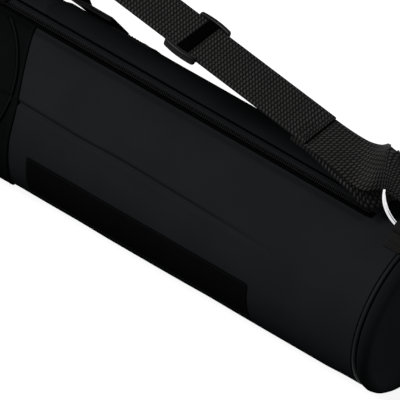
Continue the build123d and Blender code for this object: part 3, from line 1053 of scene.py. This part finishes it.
def coil_turns(bm, start, end, angle, reach, half_width, offset):
    """The turns of one half of a zip coil, each lying across the zip."""
    pitch = sizes().coil_pitch
    turn = bead(pitch * 0.40, half_width, 0.00105, segments=8, rings=5)
    slope = Matrix.Rotation(math.radians(90 - angle), 4, "X")
    for i in range(int((end - start) / pitch)):
        spot = place(start + (i + 0.5 + offset) * pitch, angle, reach)
        stamp(bm, turn, Matrix.Translation(spot) @ slope)
    bpy.data.meshes.remove(turn)


def cord_along(path, radius):
    """A round cord along a path."""
    curve = bpy.data.curves.new("cord", "CURVE")
    curve.dimensions = "3D"
    curve.bevel_depth = radius
    curve.bevel_resolution = 3
    curve.use_fill_caps = True
    spline = curve.splines.new("POLY")
    spline.points.add(len(path) - 1)
    for point, spot in zip(spline.points, path):
        point.co = (*spot, 1)
    line = bpy.data.objects.new("cord", curve)
    bpy.context.scene.collection.objects.link(line)
    mesh = bpy.data.meshes.new_from_object(line.evaluated_get(bpy.context.evaluated_depsgraph_get()))
    bpy.data.objects.remove(line)
    bm = bmesh.new()
    bm.from_mesh(mesh)
    bpy.data.meshes.remove(mesh)
    return bm


class TUBE_OT_zips(bpy.types.Operator):
    """Builds the main zip's tapes and coils, and finishes the sliders and pulls"""

    bl_idname = "drawing_tube.zips"
    bl_label = "Main zip"

    def execute(self, context):
        reach = RADIUS - 0.0004
        # The front tape is sunk and painted dark, as painted shade in the groove under the front panel's
        # rolled edge.
        for name, side, body, tape, sunk in (
            ("front", -1, "bag", "Tape painted in shade", 0.0014), ("rear", 1, "lid", "Zip tape", LAYER_GAP),
        ):
            inner, outer, middle = (
                ZIP_MIDDLE + side * math.degrees(off / RADIUS) for off in (*TAPE_EDGES, COIL_MIDDLE)
            )
            rows = steps(min(inner, outer), max(inner, outer), 0.7, crowd=False)
            finish(
                wall(straight(-MOUTH, MOUTH), rows, RADIUS - sunk), f"zip_tape_{name}_cloth", tape,
                body, [f"zip_tape_{name}"], 0.0006,
            )
            bm = bmesh.new()
            coil_turns(bm, -COIL_END, COIL_END, middle, reach, 0.00140, 0.25 * side)
            finish(bm, f"zip_turns_{name}", "Zip coil", body, [f"zip_coil_{name}"])
        # A thin dark strip just before the top panels' edge, as painted shade at the lid's hem.
        rows = steps(TOP_EDGE - 1.9, TOP_EDGE + 0.4, 0.6, crowd=False)
        finish(
            wall(straight(-COIL_END, COIL_END), rows, RADIUS + 0.0003), "lid_hem_painted_shade",
            "Tape painted in shade", "lid", [], 0.0003,
        )
        for node in ("zip_slider_right", "zip_slider_left", "zip_pull_right", "zip_pull_left",
                     "pocket_zip_slider", "pocket_zip_pull"):
            carry(node, "Zip metal")
        return {"FINISHED"}


def carry(node, material):
    """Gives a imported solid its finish."""
    solid = frame["nodes"][node]
    solid.data.materials.clear()
    solid.data.materials.append(bpy.data.materials[material])


def strap_spot(x, height, back=0.0):
    """A point in the plane of the rings and strap."""
    return Vector((x, PIVOT.y, PIVOT.z)) + UP * height + ACROSS * back


def strap_height(x):
    """The height of the strap's middle over the ring pivots."""
    rise = STRAP_FALL * (STRAP_LOW_X - max(abs(x), STRAP_TURN * 0.55))
    soft = 0.004 * math.exp(-(((abs(x) - STRAP_TURN * 0.4) / 0.05) ** 2))
    return STRAP_LOW + rise - soft


def rolled(turn):
    """The direction across the webbing, rolled by an angle in degrees."""
    turn = math.radians(turn)
    return ACROSS * math.cos(turn) + UP * math.sin(turn)


class TUBE_OT_strap(bpy.types.Operator):
    """Builds the shoulder strap, its sewn ring loops and the slide"""

    bl_idname = "drawing_tube.strap"
    bl_label = "Shoulder strap"

    def execute(self, context):
        size = sizes()
        width, sheet = size.webbing, size.webbing_sheet
        stations = steps(-SEWN_END, SEWN_END, 0.02, crowd=False)
        strap = ribbon([(strap_spot(x, strap_height(x)), rolled(STRAP_ROLL)) for x in stations], width)
        finish(
            strap, "shoulder_strap_webbing", "Webbing", "strap", ["shoulder_strap"], sheet, 0.0,
            round_edge=0.0009,
        )
        for name, hand in SIDES:
            bm = ribbon(loop_frames(hand, sheet), width)
            if hand < 0:
                bmesh.ops.reverse_faces(bm, faces=bm.faces)
            finish(
                bm, f"strap_loop_{name}", "Webbing", "strap", [f"strap_eye_{name}"], sheet, 0.0,
                round_edge=0.0009,
            )
            sewn(f"strap_stitches_{name}", "strap", box_stitches(hand, width, sheet))
            finish(
                d_ring(hand), f"d_ring_round_{name}", "Chrome", "strap", [f"d_ring_{name}"]
            )
        rails, bar = slide_rails(width, sheet), slide_bar(width, sheet)
        # The middle bar takes the darker plastic, as painted shade.
        for name, material, pieces, nodes in (
            ("strap_slide", "Slide plastic", rails, ["strap_adjuster"]),
            ("strap_slide_bar", "Bar plastic painted in shade", bar, []),
        ):
            finish(strap_slide(pieces), name, material, "adjuster", nodes)
        return {"FINISHED"}


def loop_frames(hand, sheet):
    """The webbing loop that twists, folds over and goes round the ring's bar."""
    step = sheet + 0.0003
    middle = RING_X
    fold = UP - ALONG
    out = [(x, strap_height(x) - 2 * step, 0.0, rolled(5), 0.0) for x in (0.384, 0.395, 0.405)]
    out += [
        (0.427, 0.0440, 0.0000, rolled(10), 0.0),
        (0.445, 0.0400, -0.0010, rolled(13), 0.0),
        (0.458, 0.0395, -0.0010, rolled(26), 0.0),
        (0.470, 0.0340, -0.0010, rolled(52), 0.0),
        (0.480, 0.0375, 0.0040, rolled(78), 0.0),
        (0.490, 0.0470, 0.0075, rolled(92), -0.3),
        (middle - 0.0045, 0.0520, 0.0090, UP - ALONG * 0.75, -0.75),
        (middle, 0.0538, 0.0100, fold, -1.0),
        (middle + 0.0005, 0.0525, 0.0105, UP * 0.75 - ALONG, -0.75),
        (middle, 0.0485, 0.0100, UP * 0.2 - ALONG, -0.2),
    ]
    under = [(0.0440, 0.0075), (0.0370, 0.0052), (0.0338, 0.0015), (0.0345, -0.0030), (0.0390, -0.0052)]
    turned = [(middle, height, back, -ALONG, 0.0) for height, back in under]
    home = [
        (middle, 0.0480, -0.0055, -ALONG, 0.0),
        (middle + 0.0020, 0.0550, -0.0062, UP * 0.2 - ALONG, 0.2),
        (middle + 0.0050, 0.0600, -0.0072, UP * 0.75 - ALONG, 0.75),
        (middle + 0.0055, 0.0640, -0.0090, fold, 1.0),
        (middle + 0.0015, 0.0660, -0.0105, UP - ALONG * 0.75, 0.75),
        (0.495, 0.0670, -0.0105, rolled(98), 0.3),
        (0.482, 0.0640, -0.0085, rolled(90), 0.0),
        (0.470, 0.0550, -0.0040, rolled(52), 0.0),
        (0.456, 0.0490, -0.0010, rolled(25), 0.0),
        (0.440, 0.0485, 0.0000, rolled(10), 0.0),
        (0.420, 0.0508, 0.0000, rolled(5), 0.0),
    ]
    home += [(x, strap_height(x) - step, 0.0, rolled(5), 0.0) for x in (0.400, 0.387)]
    frames = []
    for x, height, back, side, skew in out + turned + home:
        side = Vector((side.x * hand, side.y, side.z))
        frames.append((strap_spot(hand * x, height, back), side, skew))
    return frames


def box_stitches(hand, width, sheet):
    """A sewn box and cross where the strap's end lies on its loop."""
    top = sheet / 2 + LAYER_GAP
    edge = width / 2 - 0.004
    return [
        [strap_spot(hand * x, strap_height(x) + top, back) for x, back in between(*row, 24)]
        for row in box_and_cross(SEWN_END - 0.013, SEWN_END - 0.003, -edge, edge)
    ]


def d_ring(hand):
    """A wire ring: half round below, with a straight bar on top."""
    bm = bmesh.new()
    out = ALONG.cross(UP)
    middle = strap_spot(hand * RING_X, RING_RADIUS)
    ring = bmesh.ops.create_circle(bm, segments=16, radius=RING_WIRE / 2)["verts"]
    turn = Matrix((ALONG, out, UP)).transposed().to_4x4()
    seat = Matrix.Translation(middle + ALONG * RING_RADIUS) @ turn
    bmesh.ops.transform(bm, verts=ring, matrix=seat)
    geom = [*ring, *edges_of(ring)]
    rise = UP * (RING_HEIGHT - RING_CORNER - RING_RADIUS)
    inset = ALONG * (RING_RADIUS - RING_CORNER)
    runs = [
        (middle, math.pi, 40, None),
        (None, 0, 2, rise),
        (middle + rise - inset, math.pi / 2, 10, None),
        (None, 0, 6, inset * 2),
        (middle + rise + inset, math.pi / 2, 10, None),
        (None, 0, 2, -rise),
    ]
    for centre, angle, count, push in runs:
        made = bmesh.ops.spin(
            bm, geom=geom, cent=centre or middle, axis=-out, angle=angle, steps=count,
            dvec=(push / count) if push else (0, 0, 0), use_merge=False,
        )
        geom = made["geom_last"]
    bmesh.ops.remove_doubles(bm, verts=bm.verts, dist=0.00002)
    bmesh.ops.recalc_face_normals(bm, faces=bm.faces)
    return bm


def strap_slide(pieces):
    """Some of a strap slide's rounded bars, each given as its place, size, rounding and bulge."""
    bm = bmesh.new()
    low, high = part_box("strap_adjuster")
    middle = (low + high) / 2
    centre = middle + UP * (strap_height(middle.x) - SLIDE_LEVEL - 0.0006)
    along = Vector(JOINTS["adjuster_slide"]["axis"]).normalized()
    up = along.cross(ACROSS).normalized()
    turn = Matrix((along, ACROSS, up)).transposed().to_4x4()
    turn @= Matrix.Rotation(math.radians(STRAP_ROLL * 0.6), 4, "X")
    for spot, size, rounding, bulge in pieces:
        block = bmesh.ops.create_cube(bm, size=1)["verts"]
        bmesh.ops.scale(bm, vec=size, verts=block)
        made = bmesh.ops.bevel(
            bm, geom=list(edges_of(block)), offset=rounding, offset_type="OFFSET", segments=5,
            profile=0.5, affect="EDGES", material=-1,
        )
        geom = {x for f in made["faces"] for x in (f, *f.verts, *f.edges)}
        if bulge:
            for i in range(1, 12):
                cut = bmesh.ops.bisect_plane(
                    bm, geom=list(geom), dist=1e-6, plane_co=((i / 12 - 0.5) * size[0] * 0.86, 0, 0),
                    plane_no=(1, 0, 0),
                )
                geom |= set(cut["geom"])
        block = {x for x in geom if isinstance(x, bmesh.types.BMVert)}
        for vert in block:
            vert.co.y += bulge * (1 - (2 * vert.co.x / size[0]) ** 2)
        seat = Matrix.Translation(centre) @ turn @ Matrix.Translation(Vector(spot))
        bmesh.ops.transform(bm, verts=list(block), matrix=seat)
    return bm


def slide_rails(width, sheet):
    """The two side rails and outer bars of the slide."""
    length, bar = 0.037, 0.0036
    rail = width / 2 + 0.0020
    rails = [
        ((0, side * rail, 0), (length, 0.0052, 0.0092), 0.0025, side * 0.0022) for side in (-1, 1)
    ]
    under = sheet / 2 + 0.0003 + bar / 2
    bars = [((end * 0.0155, 0, -under), (bar, 2 * rail, bar), 0.0012, 0.0) for end in (-1, 1)]
    return rails + bars


def slide_bar(width, sheet):
    """The wide flat middle bar that the webbing runs under."""
    return [((0, 0, sheet / 2 + 0.0015), (0.0125, width + 0.003, 0.0024), 0.0010, 0.0)]


class TUBE_OT_tabs(bpy.types.Operator):
    """Builds the webbing tabs that hold the rings"""

    bl_idname = "drawing_tube.tabs"
    bl_label = "Ring tabs"

    def execute(self, context):
        sheet, eye = 0.0021, 0.0057
        width = TAB_HIGH.x - TAB_LOW.x
        for name, hand in SIDES:
            x = hand * (TAB_LOW.x + TAB_HIGH.x) / 2

            def flat(*stations):
                return [(x, y, self.surface(y) + sheet / 2 + LAYER_GAP) for y in stations]

            spots = flat(-0.0178, -0.012, -0.0075)
            for turn in (200, 160, 125, 90, 55, 20, -20):
                angle = math.radians(turn)
                spots.append((x, PIVOT.y + eye * math.cos(angle), PIVOT.z + eye * math.sin(angle)))
            spots += flat(0.0155, 0.020, 0.0258)
            bm = ribbon([(spot, ALONG) for spot in spots], width, step=0.0015)
            bmesh.ops.reverse_faces(bm, faces=bm.faces)
            finish(
                bm, f"ring_tab_webbing_{name}", "Plain webbing", "bag", [f"ring_tab_{name}"],
                sheet, 0.0, round_edge=0.0007,
            )
            side = hand * width * 0.42
            paths = []
            for y in (-0.0155, -0.0115, 0.0195, 0.0235):
                top = self.surface(y) + sheet + 0.0002
                paths.append([Vector((x + side * s, y, top)) for s in (-1, -0.5, 0, 0.5, 1)])
            sewn(f"ring_tab_stitches_{name}", "bag", paths, 0.8)
        return {"FINISHED"}

    @staticmethod
    def surface(y):
        return AXIS + math.sqrt((RADIUS + LAYER_GAP) ** 2 - y * y)


class TUBE_OT_handle(bpy.types.Operator):
    """Builds the carry handle and its sewn feet"""

    bl_idname = "drawing_tube.handle"
    bl_label = "Carry handle"

    def execute(self, context):
        width = sizes().webbing
        out = outward(HANDLE_ANGLE)
        turn = math.radians(HANDLE_ANGLE)
        across = Vector((0, math.sin(turn), math.cos(turn)))
        crest, slope = HANDLE_SLOPE
        for name, level in HANDLE_LAYERS:
            profile = []
            for x in steps(0.0005 - HANDLE_HALF, HANDLE_HALF - 0.0005, 0.008, crowd=False):
                climb = ease((slope - abs(x)) / (slope - crest)) ** 1.1
                height = HANDLE_LIFT + (HANDLE_RISE - HANDLE_LIFT) * climb
                spot = Vector((x, *around(HANDLE_ANGLE, HANDLE_BASE))) + out * (height + level)
                roll = HANDLE_ROLL * ease((0.080 - abs(x)) / 0.045)
                profile.append((spot, -(across * math.cos(roll) + out * math.sin(roll))))
            strip = finish(
                ribbon(profile, width), f"carry_handle_{name}", "Plain webbing", None,
                ["carry_handle"] if name == "outer" else [], HANDLE_SHEET, 0.0, round_edge=0.0008,
            )
            place(0, HANDLE_ANGLE, HANDLE_BASE + 0.0065)
            place(0, HANDLE_ANGLE, HANDLE_BASE + 0.0200)
            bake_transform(strip)
        spread = math.degrees(width / 2 / RADIUS)
        near, far = FOOT_LOW.x, FOOT_HIGH.x
        rows = steps(HANDLE_ANGLE - spread, HANDLE_ANGLE + spread, 2)
        low, high = HANDLE_ANGLE - spread * 0.82, HANDLE_ANGLE + spread * 0.82
        for name, hand in SIDES:
            ends = straight(near, far) if hand > 0 else straight(-far, -near)
            finish(
                wall(ends, rows, HANDLE_BASE + 0.0005, step=0.004), f"handle_foot_webbing_{name}",
                "Plain webbing", "lid", [f"handle_foot_{name}"], 0.0011, round_edge=0.0005,
            )
            paths = []
            for row in box_and_cross(near + 0.004, far - 0.004, low, high):
                spots = between(*row, 24)
                paths.append([place(hand * x, a, HANDLE_BASE + 0.0007 + swell(x, a)) for x, a in spots])
            sewn(f"handle_foot_stitches_{name}", "lid", paths)
        return {"FINISHED"}


class TUBE_OT_seams(bpy.types.Operator):
    """Sews the visible rows of stitches along the cloth's seams"""

    bl_idname = "drawing_tube.seams"
    bl_label = "Seam stitches"

    def execute(self, context):
        def row(start, end, reach):
            return [place(x, angle, reach + swell(x, angle)) for x, angle in between(start, end, 60)]

        rows = []
        level = MOUTH_FRONT - 1.6
        for hand in (1, -1):
            near, far = hand * (wrap_side(level) + 0.003), hand * (SHELL - 0.003)
            rows.append(row((near, level), (far, level), RADIUS))
            path = []
            for i in range(81):
                angle = FRONT_SEAM + 2 + (MOUTH_FRONT - FRONT_SEAM - 4) * i / 80
                x = hand * (wrap_side(angle) - 0.0025)
                path.append(place(x, angle, RADIUS + WRAP_RAISE + swell(x, angle)))
            rows.append(path)
        low, high = LABEL_LOW.x + 0.002, LABEL_HIGH.x - 0.002
        foot, top = LABEL_FOOT + 1.4, LABEL_TOP - 1.4
        corners = [(low, foot), (high, foot), (high, top), (low, top), (low, foot)]
        rows += [row(start, end, RADIUS + 0.0010) for start, end in zip(corners, corners[1:])]
        sewn("stitches_front", "bag", rows)
        rows = []
        reach = RADIUS + sizes().cloth + 0.0003
        near, far = TOP_START + TOP_CORNER, MOUTH - TOP_CORNER
        for hand in (1, -1):
            for angle in (TOP_EDGE + 1.3, TOP_FOOT - 1.3):
                rows.append(row((hand * near, angle), (hand * far, angle), reach))
            for x in (TOP_START + 0.002, MOUTH - 0.0022):
                rows.append(row((hand * x, TOP_EDGE + 10), (hand * x, TOP_FOOT - 10), reach))
        sewn("stitches_lid", "lid", rows)
        return {"FINISHED"}


# Stage ------------------------------------------------------------------------


class TUBE_OT_stage(bpy.types.Operator):
    """Builds the floor, the lamps, the white surround and the camera"""

    bl_idname = "drawing_tube.stage"
    bl_label = "Stage"

    def execute(self, context):
        scene = context.scene
        stage = scene.tube_stage
        scene.view_settings.view_transform = "Standard"

        back = Vector((
            math.sin(stage.azimuth) * math.cos(stage.elevation),
            -math.cos(stage.azimuth) * math.cos(stage.elevation),
            math.sin(stage.elevation),
        ))
        lens = bpy.data.cameras.new("Camera")
        lens.lens = 1000
        lens.sensor_width = 36
        lens.clip_start = 0.1
        lens.clip_end = 200
        spot = AIM + back * (stage.width * lens.lens / lens.sensor_width)
        scene.camera = face_along(scene, lens, spot, -back)

        light = bpy.data.lights.new("Key", "AREA")
        light.energy = stage.key
        light.size = LAMP_SIZE
        face_along(scene, light, LAMP_SPOT, LAMP_AIM - LAMP_SPOT)

        world = bpy.data.worlds.new("Room")
        world.use_nodes = True
        scene.world = world
        tree = world.node_tree
        seen = rays(tree, "Is Camera Ray", "Is Glossy Ray", "Is Transmission Ray")
        strength = math_node(tree, "MULTIPLY_ADD", seen, 1 - stage.sky, stage.sky)
        fill(tree, tree.nodes["Background"], Color=(1, 1, 1, 1), Strength=strength)

        bm = bmesh.new()
        bmesh.ops.create_grid(bm, x_segments=1, y_segments=1, size=12)
        mesh = to_mesh(bm, "floor")
        floor = bpy.data.objects.new("floor", mesh)
        floor.location.z = FLOOR_LEVEL
        scene.collection.objects.link(floor)
        material = bpy.data.materials.new("Floor")
        material.use_nodes = True
        tree = material.node_tree
        seen = rays(tree, "Is Camera Ray", "Is Glossy Ray")
        fill(
            tree, tree.nodes["Principled BSDF"], Base_Color=(FLOOR_TONE, FLOOR_TONE, FLOOR_TONE, 1),
            Roughness=0.9, Specular_IOR_Level=0.0, Emission_Color=(1, 1, 1, 1),
            Emission_Strength=math_node(tree, "MULTIPLY", seen, FLOOR_GLOW),
        )
        mesh.materials.append(material)
        return {"FINISHED"}


def rays(tree, first, *others):
    """1 for rays of the named kinds, and 0 for the rest."""
    path = add_node(tree, "ShaderNodeLightPath")
    seen = path.outputs[first]
    for kind in others:
        seen = math_node(tree, "MAXIMUM", seen, path.outputs[kind])
    return seen


def face_along(scene, data, spot, direction):
    """Sets a camera or a lamp at a spot, facing along a direction."""
    item = bpy.data.objects.new(data.name, data)
    item.location = spot
    item.rotation_mode = "QUATERNION"
    item.rotation_quaternion = direction.to_track_quat("-Z", "Y")
    scene.collection.objects.link(item)
    return item


class TUBE_PT_panel(bpy.types.Panel):
    """Lists the tube's pieces and its stage"""

    bl_idname = "TUBE_PT_panel"
    bl_label = "Drawing Tube"
    bl_space_type = "VIEW_3D"
    bl_region_type = "UI"
    bl_category = "Drawing Tube"

    def draw(self, context):
        for item in OPERATORS:
            self.layout.operator(item.bl_idname)


OPERATORS = (
    TUBE_OT_stage,
    TUBE_OT_cloth,
    TUBE_OT_padding,
    TUBE_OT_ends,
    TUBE_OT_top_panels,
    TUBE_OT_label,
    TUBE_OT_pocket,
    TUBE_OT_zips,
    TUBE_OT_strap,
    TUBE_OT_tabs,
    TUBE_OT_handle,
    TUBE_OT_seams,
)
CLASSES = (TubeSizes, TubeColours, TubeStage, *OPERATORS, TUBE_PT_panel)


def register():
    for item in CLASSES:
        bpy.utils.register_class(item)
    bpy.types.Scene.tube_sizes = bpy.props.PointerProperty(type=TubeSizes)
    bpy.types.Scene.tube_colours = bpy.props.PointerProperty(type=TubeColours)
    bpy.types.Scene.tube_stage = bpy.props.PointerProperty(type=TubeStage)


def unregister():
    del bpy.types.Scene.tube_stage
    del bpy.types.Scene.tube_colours
    del bpy.types.Scene.tube_sizes
    for item in reversed(CLASSES):
        bpy.utils.unregister_class(item)


def main():
    register()
    make_materials()
    for item in OPERATORS:
        group, action = item.bl_idname.split(".")
        getattr(getattr(bpy.ops, group), action)()
    bpy.context.view_layer.update()


if __name__ == "__main__":
    main()
